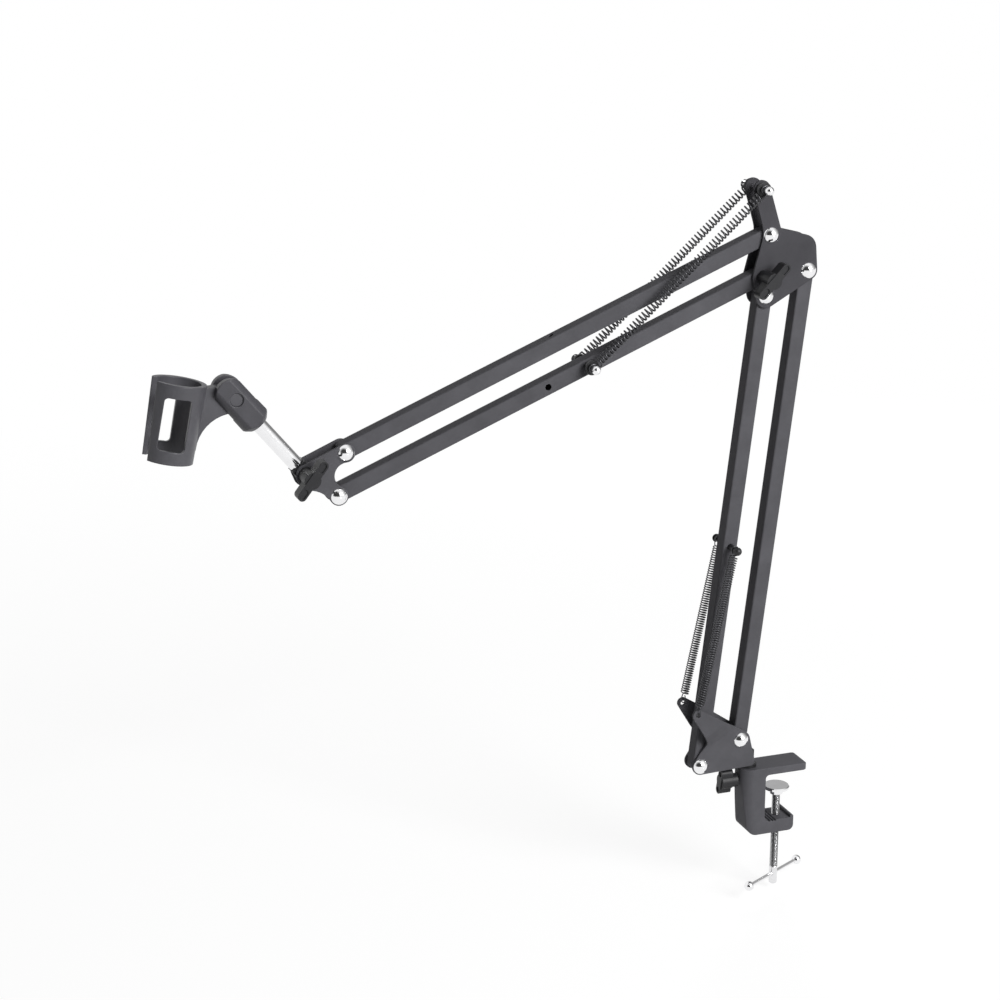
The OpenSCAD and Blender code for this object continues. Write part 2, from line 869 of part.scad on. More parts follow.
// Swivel block between the base plates, with its thrust collar and spigot
module swivel_spigot() {
    block_left = 9.2;
    block_right = 2.2;
    block_top = base_right.y - bar_y - 4;
    flange_r = spigot_r + 2;
    flange_clear = 0.3;
    color(black)
        translate([swivel.x, 0, 0]) {
            translate([-block_left, -plate_in, base_foot])
                cube([block_left + block_right, 2 * plate_in, block_top - base_foot]);
            translate([0, 0, clamp_top])
                cylinder(r = flange_r, h = swivel_gap - flange_clear);
            translate([0, 0, clamp_top - spigot_depth])
                cylinder(r = spigot_r, h = spigot_depth + swivel_gap + 1);
        }
}

lock_z = clamp_top - lock_drop;
column_face = -throat_x - column_t;
lower_top = -throat_h;
clamp_foot = lower_top - lower_jaw_t;

module clamp_body() {
    groove_count = 3;
    groove_pitch = 2.6 * groove_depth;
    groove_from = -throat_x + 3 + groove_depth;
    draft = 4.5;
    half_w = clamp_w / 2;
    side_r = 9.5;
    end_r = 4;
    color(paint)
        difference() {
            intersection() {
                slab(-half_w, half_w) {
                    polygon(outline([
                        [column_face + 2, clamp_top - 2, 2],
                        [column_face + draft + 8, clamp_foot + 8, 8],
                        [lower_reach - 4, clamp_foot + 4, 4],
                        [lower_reach - 1.2, lower_top - 1.2, 1.2],
                        [-throat_x + 3, lower_top + 3, -3],
                        [-throat_x + 3, -3, -3],
                        [jaw_reach - 1.5, 1.5, 1.5],
                        [jaw_reach - 2.2, clamp_top - 2.2, 2.2]
                    ]));
                    polygon(outline([
                        [lower_reach - lip_t / 2, lower_top - lip_t, lip_t / 2],
                        [lower_reach - lip_t / 2, lower_top + lip_h - lip_t / 2, lip_t / 2]
                    ]));
                }
                translate([0, 0, clamp_foot - 1])
                    linear_extrude(clamp_top - clamp_foot + 2)
                        polygon(outline([
                            [column_face + side_r, half_w - side_r, side_r],
                            [column_face + side_r, side_r - half_w, side_r],
                            [jaw_reach - end_r, end_r - half_w, end_r],
                            [jaw_reach - end_r, half_w - end_r, end_r]
                        ]));
            }
            translate([0, 0, clamp_foot - 1])
                cylinder(r = screw_r + pivot_clear, h = lower_jaw_t + 2);
            for (k = [0 : groove_count - 1])
                across([groove_from + groove_pitch * k, lower_top], groove_depth, -clamp_w, clamp_w);
            translate([swivel.x, 0, clamp_top - spigot_depth - 1])
                cylinder(r = spigot_r + pivot_clear, h = spigot_depth + 2);
            translate([column_face - 1, 0, lock_z])
                rotate([0, 90, 0])
                    cylinder(r = stud_hole_r, h = swivel.x - column_face + 1);
        }
}

pad_top = -pad_gap;
screw_top = pad_top - pad_t + 0.4;
screw_foot = clamp_foot - screw_drop;

module pressure_pad() {
    color(chrome)
        translate([0, 0, pad_top])
            rotate_extrude()
                polygon([
                    [0, 0], [pad_r - 0.6, 0], [pad_r, -0.6], [pad_r, -pad_t],
                    [pad_hub_r, -pad_t - 0.8], [pad_hub_r, -pad_t - pad_hub_h],
                    [screw_r + pivot_clear, -pad_t - pad_hub_h],
                    [screw_r + pivot_clear, -pad_t + 0.4 + pivot_clear],
                    [0, -pad_t + 0.4 + pivot_clear]
                ]);
}

module tommy_frame() {
    translate([0, 0, screw_foot + tommy_up])
        rotate([0, 0, tommy_turn])
            rotate([0, 90, 0])
                children();
}

module clamp_screw() {
    color(chrome)
        difference() {
            translate([0, 0, screw_foot])
                cylinder(r = screw_r, h = screw_top - screw_foot);
            tommy_frame()
                cylinder(r = tommy_r + pivot_clear, h = 4 * screw_r, center = true);
        }
}

module tommy_bar() {
    color(chrome)
        tommy_frame()
            cylinder(r = tommy_r, h = tommy_length, center = true);
}

module tommy_bar_balls() {
    color(chrome)
        tommy_frame()
            for (s = [-1, 1])
                translate([0, 0, s * tommy_length / 2])
                    difference() {
                        sphere(tommy_ball_r);
                        translate([0, 0, -s * tommy_ball_r])
                            cylinder(r = tommy_r + fixed_clear, h = 2 * tommy_ball_r, center = true);
                    }
}

// Frame of the swivel lock: its front direction points away from the column
module lock_frame() {
    translate([column_face, 0, lock_z])
        rotate([0, 0, -90])
            children();
}

lock_seat = 0.6;
lock_reach = -column_face + swivel.x - spigot_r - 0.3;

module swivel_lock_knob() {
    color(black)
        lock_frame()
            difference() {
                wing_knob([0, 0], -lock_seat, lock_length, lock_turn, lock_stem);
                across([0, 0], stud_r + fixed_clear, -lock_stem, 1);
            }
}

module swivel_lock_stud() {
    color(chrome)
        lock_frame()
            across([0, 0], stud_r, -lock_stem, lock_reach);
}

// Coil spring: one unbroken tube whose straight ends lie on its axis
rings_per_curl = 8;
wire_sides = 6;
lead_rings = 2;

function smooth(t) = let (u = min(1, max(0, t))) u * u * (3 - 2 * u);

// Centre line along Z: straight lead, curls that open from the axis and close again, straight lead
function coil_path(length, coil_r, lead, curls) =
    let (count = curls * rings_per_curl)
    concat(
        [for (k = [0 : lead_rings - 1]) [0, 0, lead * k / lead_rings]],
        [for (k = [0 : count])
            let (
                open = min(smooth(k / rings_per_curl), smooth((count - k) / rings_per_curl)),
                a = 360 * k / rings_per_curl
            )
            [coil_r * open * cos(a), coil_r * open * sin(a), lead + (length - 2 * lead) * k / count]],
        [for (k = [lead_rings - 1 : -1 : 0]) [0, 0, length - lead * k / lead_rings]]
    );

function unit(v) = v / norm(v);

function tangents(path) = [
    for (i = [0 : len(path) - 1])
        unit(path[min(i + 1, len(path) - 1)] - path[max(i - 1, 0)])
];

// Normals carried along the path without twist
function normals(tan) = [
    for (i = 0, n = [1, 0, 0]; i < len(tan); i = i + 1,
         n = i < len(tan) ? unit(n - (n * tan[i]) * tan[i]) : n)
        n
];

// Least gap between turns: centre points most of a curl apart, less the wire
function self_gap(path, wire) =
    min([for (i = [0 : len(path) - rings_per_curl + 1])
            for (j = [i + rings_per_curl - 2 : min(len(path) - 1, i + 2 * rings_per_curl)])
                norm(path[i] - path[j])]) - wire;

module wire_tube(path, wire) {
    tan = tangents(path);
    nrm = normals(tan);
    last = len(path) - 1;
    points = [
        for (i = [0 : last])
            let (side = cross(tan[i], nrm[i]))
            for (s = [0 : wire_sides - 1])
                path[i] + wire / 2 * (cos(360 * s / wire_sides) * nrm[i] + sin(360 * s / wire_sides) * side)
    ];
    walls = [
        for (i = [0 : last - 1])
            for (s = [0 : wire_sides - 1])
                let (
                    a = i * wire_sides + s,
                    b = i * wire_sides + (s + 1) % wire_sides
                )
                for (f = [[a, a + wire_sides, b], [b, a + wire_sides, b + wire_sides]])
                    f
    ];
    caps = [
        for (s = [1 : wire_sides - 2])
            for (f = [[0, s, s + 1],
                      [last * wire_sides, last * wire_sides + s + 1, last * wire_sides + s]])
                f
    ];
    polyhedron(points, concat(walls, caps));
}

// Spring between two points in a plane beside the bars, clear of its seats at both ends
module spring(p, q, y, outer_r, wire, curls, p_seat, q_seat, name) {
    lead = 2.5 * wire;
    along = q - p;
    length = norm(along) - p_seat - q_seat - 2 * spring_seat;
    path = coil_path(length, outer_r - wire / 2, lead, curls);
    echo(str(name, " least gap to itself, mm: "), self_gap(path, wire));
    translate([p.x, y, p.y])
        rotate([0, atan2(along.x, along.y), 0])
            translate([0, 0, p_seat + spring_seat])
                wire_tube(path, wire);
}

module boom_spring(side) {
    color(wire_grey)
        spring(boom_pin, horn, side * boom_spring_y, boom_spring_r, boom_wire, boom_curls,
               spring_pin_r, spring_pin_r, "boom spring");
}

module boom_spring_front() {
    boom_spring(-1);
}

module boom_spring_back() {
    boom_spring(1);
}

module post_spring(side) {
    color(wire_grey)
        spring(ear, post_pin, side * ear_y, post_spring_r, post_wire, post_curls,
               ear_r, spring_pin_r, "post spring");
}

module post_spring_front() {
    post_spring(-1);
}

module post_spring_back() {
    post_spring(1);
}

clamp_body();
clamp_screw();
pressure_pad();
tommy_bar();
tommy_bar_balls();
swivel_lock_knob();
swivel_lock_stud();
swivel_spigot();
base_plate_front();
base_plate_back();
base_pivot_bolts();
base_pivot_nuts();
post_bar_left();
post_bar_right();
post_spring_pin();
post_spring_front();
post_spring_back();
elbow_plate_front();
elbow_plate_back();
elbow_pivot_bolts();
elbow_pivot_nuts();
horn_spring_pin();
horn_pin_spacers();
elbow_knob();
elbow_knob_stud();
boom_bar_upper();
boom_bar_lower();
boom_spring_pin();
boom_pin_spacers();
boom_spring_front();
boom_spring_back();
front_plate_front();
front_plate_back();
front_pivot_bolts();
front_pivot_nuts();
front_knob();
front_knob_stud();
rod_hub();
mic_rod();
clip_knuckle();
clip_pivot_screw();
clip_pivot_nut();
clip_body();
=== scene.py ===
import json
import math

import bmesh
import bpy
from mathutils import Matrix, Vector


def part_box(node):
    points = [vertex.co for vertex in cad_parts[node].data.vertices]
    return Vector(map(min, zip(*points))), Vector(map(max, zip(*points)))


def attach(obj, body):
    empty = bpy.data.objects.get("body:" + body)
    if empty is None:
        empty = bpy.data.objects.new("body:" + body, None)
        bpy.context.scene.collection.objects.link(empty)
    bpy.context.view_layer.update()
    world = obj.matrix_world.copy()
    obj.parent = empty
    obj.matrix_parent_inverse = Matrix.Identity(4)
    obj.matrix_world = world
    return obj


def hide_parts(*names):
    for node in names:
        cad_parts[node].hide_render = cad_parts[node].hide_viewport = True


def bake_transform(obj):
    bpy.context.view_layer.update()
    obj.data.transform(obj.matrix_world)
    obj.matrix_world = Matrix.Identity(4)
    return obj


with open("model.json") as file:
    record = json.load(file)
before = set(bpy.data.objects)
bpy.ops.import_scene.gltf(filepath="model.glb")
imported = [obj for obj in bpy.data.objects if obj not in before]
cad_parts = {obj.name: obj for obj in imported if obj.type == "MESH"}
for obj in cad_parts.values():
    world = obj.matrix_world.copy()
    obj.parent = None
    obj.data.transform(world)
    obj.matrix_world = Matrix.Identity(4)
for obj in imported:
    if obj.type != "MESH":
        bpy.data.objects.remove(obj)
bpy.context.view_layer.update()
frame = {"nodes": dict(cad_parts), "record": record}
scene = bpy.context.scene

# Lengths are in metres
MM = 0.001

# Camera at the photograph's angle
CAMERA_AT = Vector((-0.69538, -1.32546, 0.63885))
CAMERA_TARGET = Vector((-0.21907, -0.00868, 0.22855))
CAMERA_LENS = 78.7
SENSOR_WIDTH = 36

# Lamps
LAMP_TARGET = Vector((-0.2, 0.0, 0.2))
SOFTBOX_SIDE = 1.6
KEY_AT = Vector((1.0, -2.5, 1.6))
KEY_ENERGY = 108
BACK_AT = Vector((1.1, 2.5, 0.9))
BACK_ENERGY = 48
AMBIENT = 0.1

# Floor under the screw's foot: the level to which the lamps light it, the share of that shading, with its
# shadow, that shows, and the distances from the origin over which it fades to plain white
FLOOR_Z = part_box("clamp_screw")[0].z - 5 * MM
FLOOR_HALF = 30
FLOOR_LIT = 0.55
SHADOW_SHARE = 0.3
FADE = (0.6, 1.6)

# Springs
EAR_X = -71.3 * MM
EAR_Z = 55.7 * MM
EAR_LOOP_R = 3 * MM
PIN_R = 2.2 * MM
HOOK_GAP = 0.1 * MM
HOOK_STEPS = 18
COIL_STEPS = 20
WIRE_SIDES = 8
BOOM_WIRE = 1.2 * MM
BOOM_TURNS = 55
POST_WIRE = 0.8 * MM
POST_TURNS = 65
# Share of the post springs' length at which they are cut in two
POST_SPLIT = 0.22

# Clamp screw: plain lengths at its two ends, the thread between them, and the cross bar's hole
SCREW_SIDES = 32
CHAMFER = 0.5 * MM
PLAIN_FOOT = 13 * MM
PLAIN_TOP = 3.7 * MM
THREAD_PITCH = 1 * MM
THREAD_DEPTH = 0.6 * MM
THREAD_STEPS = 8
CREST_SHARE = 0.14
FLANK_SHARE = 0.66
CROSS_TURN = math.radians(28)
CROSS_CLEAR = 0.06 * MM
CROSS_SIDES = 24

# Spans of a noise's values, and the full span of a factor
MIDDLE_SPAN = (0.3, 0.7)
WIDE_SPAN = (0.25, 0.75)
FULL = (0.0, 1.0)


# Shader nodes

def new_material(name):
    material = bpy.data.materials.new(name)
    material.use_nodes = True
    tree = material.node_tree
    tree.nodes.clear()
    out = tree.nodes.new("ShaderNodeOutputMaterial")
    shader = tree.nodes.new("ShaderNodeBsdfPrincipled")
    tree.links.new(shader.outputs["BSDF"], out.inputs["Surface"])
    return material, tree, shader


def add(tree, kind, **values):
    node = tree.nodes.new(kind)
    for key, value in values.items():
        if key in node.inputs:
            node.inputs[key].default_value = value
        else:
            setattr(node, key, value)
    return node


def object_coords(tree, stretch=(1, 1, 1)):
    coords = add(tree, "ShaderNodeTexCoord")
    mapping = add(tree, "ShaderNodeMapping")
    mapping.inputs["Scale"].default_value = stretch
    tree.links.new(coords.outputs["Object"], mapping.inputs["Vector"])
    return mapping.outputs["Vector"]


def noise(tree, coords, scale, detail=4.0, roughness=0.6):
    node = add(tree, "ShaderNodeTexNoise", Scale=scale, Detail=detail, Roughness=roughness)
    tree.links.new(coords, node.inputs["Vector"])
    return node.outputs["Fac"]


def ramp(tree, value, span, to):
    """Value mapped from one span to another and held at both ends."""
    node = add(tree, "ShaderNodeMapRange")
    node.inputs["From Min"].default_value, node.inputs["From Max"].default_value = span
    node.inputs["To Min"].default_value, node.inputs["To Max"].default_value = to
    tree.links.new(value, node.inputs["Value"])
    return node.outputs["Result"]


def combine(tree, operation, first, second):
    node = add(tree, "ShaderNodeMath", operation=operation)
    tree.links.new(first, node.inputs[0])
    tree.links.new(second, node.inputs[1])
    return node.outputs["Value"]


def length_of(tree, vector):
    node = add(tree, "ShaderNodeVectorMath", operation="LENGTH")
    tree.links.new(vector, node.inputs[0])
    return node.outputs["Value"]


def mix_colour(tree, factor, dark, light):
    node = add(tree, "ShaderNodeMix", data_type="RGBA")
    tree.links.new(factor, node.inputs["Factor"])
    for socket, colour in ((node.inputs[6], dark), (node.inputs[7], light)):
        if isinstance(colour, tuple):
            socket.default_value = (*colour, 1)
        else:
            tree.links.new(colour, socket)
    return node.outputs[2]


def shade(colour, factor):
    return tuple(c * factor for c in colour)


def clouded(tree, cloud, dark, light):
    """Colour that drifts between two shades with a noise."""
    return mix_colour(tree, ramp(tree, cloud, MIDDLE_SPAN, FULL), dark, light)


def edge_mask(tree, radius):
    """Normal with rounded edges, and a mask of those edges."""
    bevel = add(tree, "ShaderNodeBevel", samples=6, Radius=radius)
    geometry = add(tree, "ShaderNodeNewGeometry")
    dot = add(tree, "ShaderNodeVectorMath", operation="DOT_PRODUCT")
    tree.links.new(bevel.outputs["Normal"], dot.inputs[0])
    tree.links.new(geometry.outputs["Normal"], dot.inputs[1])
    return bevel.outputs["Normal"], ramp(tree, dot.outputs["Value"], (0.99, 0.72), FULL)


def bump(tree, shader, height, strength, distance, normal=None):
    node = add(tree, "ShaderNodeBump", Strength=strength, Distance=distance)
    tree.links.new(height, node.inputs["Height"])
    if normal is not None:
        tree.links.new(normal, node.inputs["Normal"])
    tree.links.new(node.outputs["Normal"], shader.inputs["Normal"])


# Materials

def painted(name, colour, roughness, specular, grain, edge_gain, round_edge):
    """Powder coat: clouded colour, paler rubbed edges, a fine grain and softly rounded corners."""
    material, tree, shader = new_material(name)
    coords = object_coords(tree)
    cloud = noise(tree, coords, scale=45, detail=5)
    speck = noise(tree, coords, scale=2600, detail=2, roughness=0.5)
    patches = noise(tree, coords, scale=260, detail=3, roughness=0.55)
    rounded, edges = edge_mask(tree, round_edge)
    body = clouded(tree, cloud, shade(colour, 0.86), shade(colour, 1.14))
    worn = combine(tree, "MULTIPLY", edges, ramp(tree, patches, (0.38, 0.68), (0.1, 0.6)))
    tone = mix_colour(tree, worn, body, shade(colour, edge_gain))
    gloss = ramp(tree, cloud, WIDE_SPAN, (roughness - 0.07, roughness + 0.07))
    tree.links.new(tone, shader.inputs["Base Color"])
    tree.links.new(gloss, shader.inputs["Roughness"])
    shader.inputs["Specular IOR Level"].default_value = specular
    bump(tree, shader, speck, grain, 0.12 * MM, rounded)
    return material


def plated(name, colour, gloss_span):
    """Bright plate: clouded gloss with faint polishing lines."""
    material, tree, shader = new_material(name)
    cloud = noise(tree, object_coords(tree), scale=160)
    lines = noise(tree, object_coords(tree, (900, 900, 60)), scale=3, detail=3)
    tone = clouded(tree, cloud, shade(colour, 0.93), colour)
    tree.links.new(tone, shader.inputs["Base Color"])
    tree.links.new(ramp(tree, cloud, MIDDLE_SPAN, gloss_span), shader.inputs["Roughness"])
    shader.inputs["Metallic"].default_value = 1.0
    bump(tree, shader, lines, 0.02, 0.02 * MM)
    return material


def threaded(name, colour, root_r, crest_r):
    """Plated thread about Z, with painted shade in its roots: the grooves are painted dark."""
    material, tree, shader = new_material(name)
    cloud = noise(tree, object_coords(tree), scale=500)
    crest = ramp(tree, length_of(tree, object_coords(tree, (1, 1, 0))), (root_r, crest_r), FULL)
    # Painted shade: the thread's roots are painted near black, standing in for the shade that falls in the
    # grooves
    root_shade = clouded(tree, cloud, (0.02, 0.02, 0.021), (0.07, 0.07, 0.072))
    tree.links.new(mix_colour(tree, crest, root_shade, colour), shader.inputs["Base Color"])
    tree.links.new(ramp(tree, cloud, MIDDLE_SPAN, (0.14, 0.26)), shader.inputs["Roughness"])
    shader.inputs["Metallic"].default_value = 1.0
    return material


def moulded(name, colour, roughness, specular, grain, round_edge):
    """Moulded plastic: a fine spark-eroded grain, a faint mottle and paler edges."""
    material, tree, shader = new_material(name)
    coords = object_coords(tree)
    cloud = noise(tree, coords, scale=70)
    speck = noise(tree, coords, scale=3200, detail=3)
    rounded, edges = edge_mask(tree, round_edge)
    body = clouded(tree, cloud, shade(colour, 0.88), shade(colour, 1.12))
    tone = mix_colour(tree, ramp(tree, edges, FULL, (0.0, 0.35)), body, shade(colour, 2.0))
    gloss = ramp(tree, speck, WIDE_SPAN, (roughness - 0.06, roughness + 0.08))
    tree.links.new(tone, shader.inputs["Base Color"])
    tree.links.new(gloss, shader.inputs["Roughness"])
    shader.inputs["Specular IOR Level"].default_value = specular
    bump(tree, shader, speck, grain, 0.1 * MM, rounded)
    return material


def blackened(name, colour, roughness, metallic):
    """Oil-blackened steel: a clouded tone and a faint sheen."""
    material, tree, shader = new_material(name)
    cloud = noise(tree, object_coords(tree), scale=420)
    tone = clouded(tree, cloud, shade(colour, 0.7), shade(colour, 1.3))
    gloss = ramp(tree, cloud, MIDDLE_SPAN, (roughness - 0.08, roughness + 0.1))
    tree.links.new(tone, shader.inputs["Base Color"])
    tree.links.new(gloss, shader.inputs["Roughness"])
    shader.inputs["Metallic"].default_value = metallic
    bump(tree, shader, cloud, 0.1, 0.03 * MM)
    return material


ARM_COAT = {"roughness": 0.64, "specular": 0.1, "grain": 0.12, "edge_gain": 2.0, "round_edge": 0.6 * MM}
CLAMP_COAT = {"roughness": 0.6, "specular": 0.14, "grain": 0.2, "edge_gain": 1.9, "round_edge": 0.9 * MM}
KNOB_FINISH = {"roughness": 0.45, "specular": 0.3, "grain": 0.08, "round_edge": 0.4 * MM}
CLIP_FINISH = {"roughness": 0.38, "specular": 0.34, "grain": 0.08, "round_edge": 1.2 * MM}

arm_paint = painted("arm_paint", (0.084, 0.083, 0.091), **ARM_COAT)
# Painted shade: a darker copy of arm_paint for the elbow plates, standing in for the shade that falls on
# them
shaded_elbow_paint = painted("shaded_elbow_paint", (0.056, 0.055, 0.061), **ARM_COAT)
clamp_paint = painted("clamp_paint", (0.088, 0.087, 0.096), **CLAMP_COAT)
bright_metal = plated("bright_metal", (0.9, 0.9, 0.91), gloss_span=(0.07, 0.15))
screw_metal = threaded("screw_metal", (0.8, 0.8, 0.81), root_r=2.5 * MM, crest_r=2.97 * MM)
black_steel = blackened("black_steel", (0.03, 0.03, 0.032), roughness=0.42, metallic=0.6)
spring_steel = blackened("spring_steel", (0.07, 0.07, 0.075), roughness=0.32, metallic=0.8)
knob_plastic = moulded("knob_plastic", (0.016, 0.016, 0.018), **KNOB_FINISH)
clip_plastic = moulded("clip_plastic", (0.077, 0.076, 0.085), **CLIP_FINISH)
# Painted shade: a darker copy of clip_plastic for the knuckle, standing in for the shade on its rounded
# sides
shaded_knuckle_plastic = moulded("shaded_knuckle_plastic", (0.06, 0.059, 0.067), **CLIP_FINISH)

SLOT_LOOKS = {
    "arm_paint": arm_paint,
    "clamp_paint": clamp_paint,
    "bright_metal": bright_metal,
    "black_steel": black_steel,
    "spring_steel": spring_steel,
    "knob_plastic": knob_plastic,
    "clip_plastic": clip_plastic,
}

# Pieces given darker copies of their slot's look, as painted shade
PAINTED_SHADE_LOOKS = {
    "elbow_plate_front": shaded_elbow_paint,
    "elbow_plate_back": shaded_elbow_paint,
    "clip_knuckle": shaded_knuckle_plastic,
}

for part in frame["record"]["subparts"]:
    mesh = frame["nodes"][part["node"]].data
    mesh.materials.clear()
    mesh.materials.append(PAINTED_SHADE_LOOKS.get(part["node"], SLOT_LOOKS[part["material_slot"]]))


# Meshes made of rings

def skinned(name, rings, material):
    """Closed piece through rings of as many points each, capped at both ends."""
    work = bmesh.new()
    loops = [[work.verts.new(corner) for corner in ring] for ring in rings]
    sides = len(loops[0])
    for a, b in zip(loops, loops[1:]):
        for k in range(sides):
            after = (k + 1) % sides
            work.faces.new((a[k], a[after], b[after], b[k]))
    work.faces.new(list(reversed(loops[0])))
    work.faces.new(loops[-1])
    mesh = bpy.data.meshes.new(name)
    work.to_mesh(mesh)
    work.free()
    mesh.materials.append(material)
    piece = bpy.data.objects.new(name, mesh)
    scene.collection.objects.link(piece)
    return piece


def spoke(radius, first, second, degrees):
    """Step from a centre, at an angle from the first direction towards the second."""
    angle = math.radians(degrees)
    return radius * (math.cos(angle) * first + math.sin(angle) * second)


def tube(name, path, wire, material):
    """Round wire swept along a path without twist."""
    normal = (path[1] - path[0]).normalized().orthogonal().normalized()
    rings = []
    for i, centre in enumerate(path):
        ahead = path[min(i + 1, len(path) - 1)]
        behind = path[max(i - 1, 0)]
        tangent = (ahead - behind).normalized()
        normal = (normal - tangent * normal.dot(tangent)).normalized()
        side = tangent.cross(normal)
        rings.append([
            centre + spoke(wire / 2, normal, side, 360 * k / WIRE_SIDES) for k in range(WIRE_SIDES)
        ])
    piece = skinned(name, rings, material)
    piece.data.shade_smooth()
    return piece


def revolved(name, heights, radius_at, sides, material):
    """Rod about Z whose radius varies with height and angle."""
    rings = []
    for z in heights:
        ring = []
        for k in range(sides):
            angle = 2 * math.pi * k / sides
            r = radius_at(z, angle)
            ring.append((r * math.cos(angle), r * math.sin(angle), z))
        rings.append(ring)
    return skinned(name, rings, material)


# Springs

def middle(node):
    low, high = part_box(node)
    return (low + high) / 2


def half_width(node):
    low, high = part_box(node)
    return (high.y - low.y) / 2


def beside(pin, spring):
    """Point on a pin's axis, level with a spring."""
    at = middle(pin)
    at.y = middle(spring).y
    return at


def smoothed(path, rounds):
    for _ in range(rounds):
        inner = [(path[i - 1] + path[i] * 2 + path[i + 1]) / 4 for i in range(1, len(path) - 1)]
        path = [path[0], *inner, path[-1]]
    return path


def hook(centre, radius, first, second, begin, sweep):
    return [
        centre + spoke(radius, first, second, begin + sweep * k / HOOK_STEPS) for k in range(HOOK_STEPS + 1)
    ]


def spring_path(start, end, outer_r, wire, turns, ear_end, hand):
    """Hook, coil and hook. The start goes through an ear's hole or round a pin, the end round a pin."""
    along = (end - start).normalized()
    across = Vector((0, hand, 0))
    over = along.cross(across)
    pin_loop_r = PIN_R + wire / 2 + HOOK_GAP
    pin_lead = pin_loop_r + 2 * wire
    if ear_end:
        points = hook(start + along * EAR_LOOP_R, EAR_LOOP_R, along, across, 20, 250)
        coil_from = 2 * EAR_LOOP_R + wire
        begin = 270
        sweep = 360 * turns + 270
    else:
        points = hook(start, pin_loop_r, along, over, 10, 260)
        coil_from = pin_lead
        begin = 180
        sweep = 360 * turns
    coil_length = (end - start).length - pin_lead - coil_from
    count = round(sweep / 360 * COIL_STEPS)
    for k in range(count + 1):
        centre = start + along * (coil_from + coil_length * k / count)
        points.append(centre + spoke(outer_r - wire / 2, over, across, begin + sweep * k / count))
    points += hook(end, pin_loop_r, along, over, 270, 260)
    return smoothed(points, 2)


def split_path(path, start, end, share):
    """Path in two, cut a share of the way from start to end; the two overlap by one step."""
    way = end - start
    cut = next(i for i, p in enumerate(path) if (p - start).dot(way) > share * way.length_squared)
    return path[:cut + 2], path[cut:]


def boom_spring(label, hand):
    node = "boom_spring_" + label
    pin = beside("boom_spring_pin", node)
    horn = beside("horn_spring_pin", node)
    path = spring_path(pin, horn, half_width(node), BOOM_WIRE, BOOM_TURNS, False, hand)
    coil = tube("boom_coil_" + label, path, BOOM_WIRE, spring_steel)
    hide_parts(node)
    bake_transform(coil)


def post_spring(label, hand):
    node = "post_spring_" + label
    pin = beside("post_spring_pin", node)
    ear = Vector((EAR_X, pin.y, EAR_Z))
    path = spring_path(ear, pin, half_width(node), POST_WIRE, POST_TURNS, True, hand)
    root_path, top_path = split_path(path, ear, pin, POST_SPLIT)
    root = tube("post_coil_root_" + label, root_path, POST_WIRE, spring_steel)
    top = tube("post_coil_" + label, top_path, POST_WIRE, spring_steel)
    for coil in (root, top):
        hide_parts(node)
    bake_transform(root)
    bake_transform(top)


for label, hand in (("front", 1), ("back", -1)):
    boom_spring(label, hand)
    post_spring(label, hand)


# Clamp screw with its thread and cross hole

screw_low, screw_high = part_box("clamp_screw")
screw_r = screw_high.x
thread_from = screw_low.z + PLAIN_FOOT
thread_to = screw_high.z - PLAIN_TOP


def screw_radius(z, angle):
    """Chamfered ends, and a thread with flat crests and roots that runs out at both ends."""
    if z <= screw_low.z or z >= screw_high.z:
        return screw_r - CHAMFER
    fade = max(0.0, min(1.0, (z - thread_from) / THREAD_PITCH, (thread_to - z) / THREAD_PITCH))
    phase = (z / THREAD_PITCH - angle / (2 * math.pi)) % 1.0
    from_crest = abs(2 * phase - 1)
    cut = max(0.0, min(1.0, (from_crest - CREST_SHARE) / FLANK_SHARE))
    return screw_r - THREAD_DEPTH * fade * cut


def screw_heights():
    count = round((thread_to - thread_from) / THREAD_PITCH * THREAD_STEPS)
    thread = [thread_from + (thread_to - thread_from) * k / count for k in range(count + 1)]
    return [screw_low.z, screw_low.z + CHAMFER, *thread, screw_high.z - CHAMFER, screw_high.z]


def drill(piece, centre, radius, turn):
    """Cut a round hole through a piece, level and turned about Z."""
    reach = 10 * MM
    cutter = revolved("cross_hole", [-reach, reach], lambda z, angle: radius, CROSS_SIDES, bright_metal)
    cutter.rotation_euler = (0, math.pi / 2, turn)
    cutter.location = centre
    hole = piece.modifiers.new("cross_hole", "BOOLEAN")
    hole.operation = "DIFFERENCE"
    hole.solver = "EXACT"
    hole.object = cutter
    bpy.context.view_layer.update()
    drilled = bpy.data.meshes.new_from_object(piece.evaluated_get(bpy.context.evaluated_depsgraph_get()))
    piece.modifiers.clear()
    piece.data = drilled
    bpy.data.objects.remove(cutter)


bar_low, bar_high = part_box("tommy_bar")
screw = revolved("clamp_screw_thread", screw_heights(), screw_radius, SCREW_SIDES, screw_metal)
drill(screw, middle("tommy_bar"), (bar_high.z - bar_low.z) / 2 + CROSS_CLEAR, CROSS_TURN)
screw.data.shade_smooth()
screw.data.set_sharp_from_angle(angle=math.radians(40))
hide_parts("clamp_screw")
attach(screw, "screw")


# Floor, light and camera

def backdrop_rays(tree):
    """1 for camera, mirror and glass rays, which see the backdrop; 0 for the rays that light."""
    path = add(tree, "ShaderNodeLightPath").outputs
    mirror_or_glass = combine(tree, "MAXIMUM", path["Is Glossy Ray"], path["Is Transmission Ray"])
    return combine(tree, "MAXIMUM", path["Is Camera Ray"], mirror_or_glass)


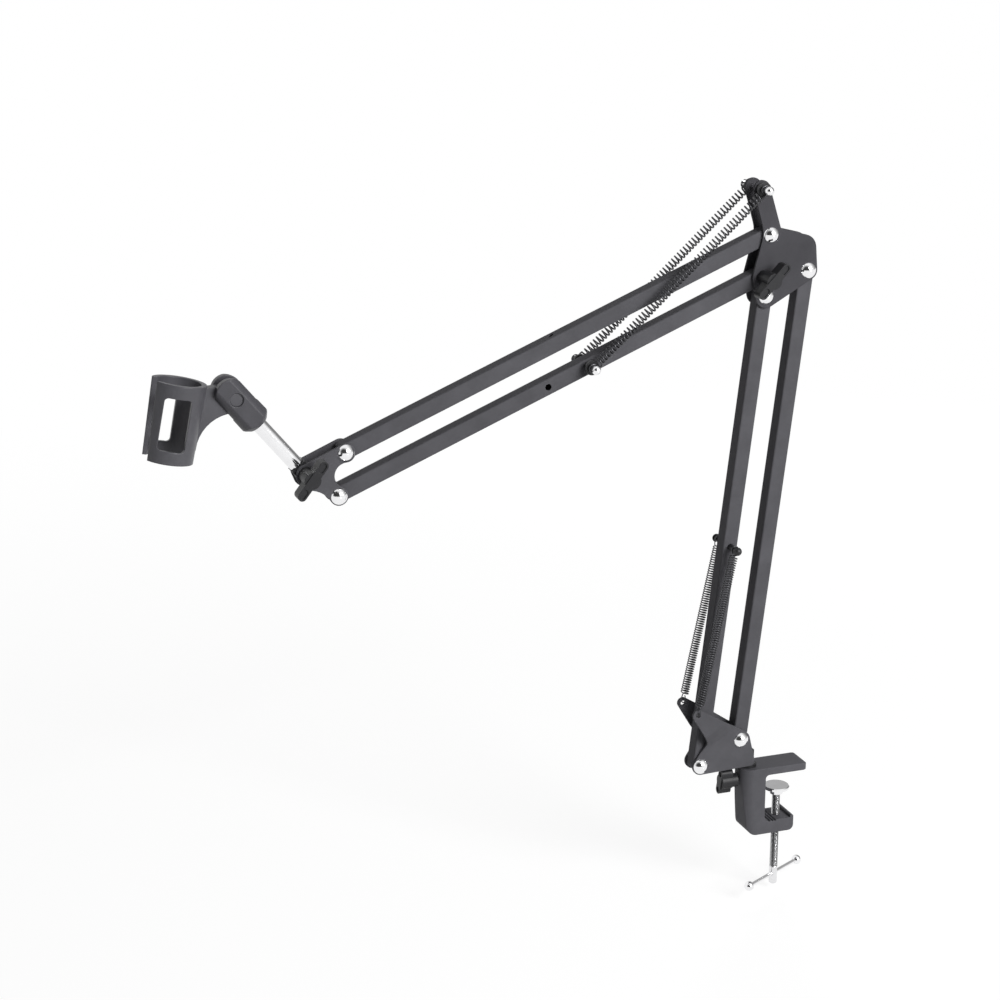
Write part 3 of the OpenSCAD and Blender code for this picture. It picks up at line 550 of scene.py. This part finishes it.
def floor_white():
    """White that keeps a soft shadow: its lit face and its glow add up to white where nothing shades it."""
    material, tree, shader = new_material("floor_white")
    seen = backdrop_rays(tree)
    shader.inputs["Base Color"].default_value = (0.7, 0.7, 0.7, 1)
    shader.inputs["Roughness"].default_value = 0.9
    shader.inputs["Specular IOR Level"].default_value = 0.0
    shader.inputs["Emission Color"].default_value = (1, 1, 1, 1)
    tree.links.new(ramp(tree, seen, FULL, (0.0, 1.0 - FLOOR_LIT)), shader.inputs["Emission Strength"])
    plain_share = ramp(tree, length_of(tree, object_coords(tree)), FADE, (1.0 - SHADOW_SHARE, 1.0))
    plain = add(tree, "ShaderNodeEmission", Strength=1.0)
    mix = add(tree, "ShaderNodeMixShader")
    tree.links.new(combine(tree, "MULTIPLY", seen, plain_share), mix.inputs["Fac"])
    tree.links.new(shader.outputs["BSDF"], mix.inputs[1])
    tree.links.new(plain.outputs["Emission"], mix.inputs[2])
    out = next(node for node in tree.nodes if node.type == "OUTPUT_MATERIAL")
    tree.links.new(mix.outputs["Shader"], out.inputs["Surface"])
    return material


def studio_world():
    """White for the camera, darker walls for bright metal to mirror, and a dim even light on the part."""
    world = bpy.data.worlds.new("studio")
    world.use_nodes = True
    tree = world.node_tree
    toward = add(tree, "ShaderNodeTexCoord").outputs["Generated"]

    def wall(direction, span, level):
        dot = add(tree, "ShaderNodeVectorMath", operation="DOT_PRODUCT")
        tree.links.new(toward, dot.inputs[0])
        dot.inputs[1].default_value = Vector(direction).normalized()
        return ramp(tree, dot.outputs["Value"], span, (1.0, level))

    dark_wall = wall((-0.5, -0.8, 0.3), (0.62, 0.9), 0.05)
    grey_wall = wall((0.85, 0.45, 0.25), (0.5, 0.95), 0.25)
    camera_ray = add(tree, "ShaderNodeLightPath").outputs["Is Camera Ray"]
    backdrop = combine(tree, "MAXIMUM", combine(tree, "MINIMUM", dark_wall, grey_wall), camera_ray)
    level = add(tree, "ShaderNodeMapRange")
    level.inputs["To Min"].default_value = AMBIENT
    tree.links.new(backdrop, level.inputs["To Max"])
    tree.links.new(backdrop_rays(tree), level.inputs["Value"])
    background = tree.nodes["Background"]
    background.inputs["Color"].default_value = (1, 1, 1, 1)
    tree.links.new(level.outputs["Result"], background.inputs["Strength"])
    return world


def aim(thing, at, target):
    thing.location = at
    thing.rotation_euler = (target - at).to_track_quat("-Z", "Y").to_euler()
    scene.collection.objects.link(thing)


def softbox(name, at, energy, mirrored):
    """Square lamp that faces the part; one that isn't mirrored leaves no reflection in bright metal."""
    light = bpy.data.lights.new(name, "AREA")
    light.size = SOFTBOX_SIDE
    light.energy = energy
    lamp = bpy.data.objects.new(name, light)
    lamp.visible_glossy = mirrored
    aim(lamp, at, LAMP_TARGET)


floor_mesh = bpy.data.meshes.new("floor")
corners = [(x * FLOOR_HALF, y * FLOOR_HALF, FLOOR_Z) for x, y in ((-1, -1), (1, -1), (1, 1), (-1, 1))]
floor_mesh.from_pydata(corners, [], [(0, 1, 2, 3)])
floor_mesh.materials.append(floor_white())
floor = bpy.data.objects.new("floor", floor_mesh)
scene.collection.objects.link(floor)

scene.world = studio_world()
softbox("key_softbox", KEY_AT, KEY_ENERGY, True)
softbox("back_softbox", BACK_AT, BACK_ENERGY, False)

lens = bpy.data.cameras.new("camera")
lens.sensor_width = SENSOR_WIDTH
lens.lens = CAMERA_LENS
camera = bpy.data.objects.new("camera", lens)
aim(camera, CAMERA_AT, CAMERA_TARGET)
scene.camera = camera
scene.view_settings.view_transform = "Standard"
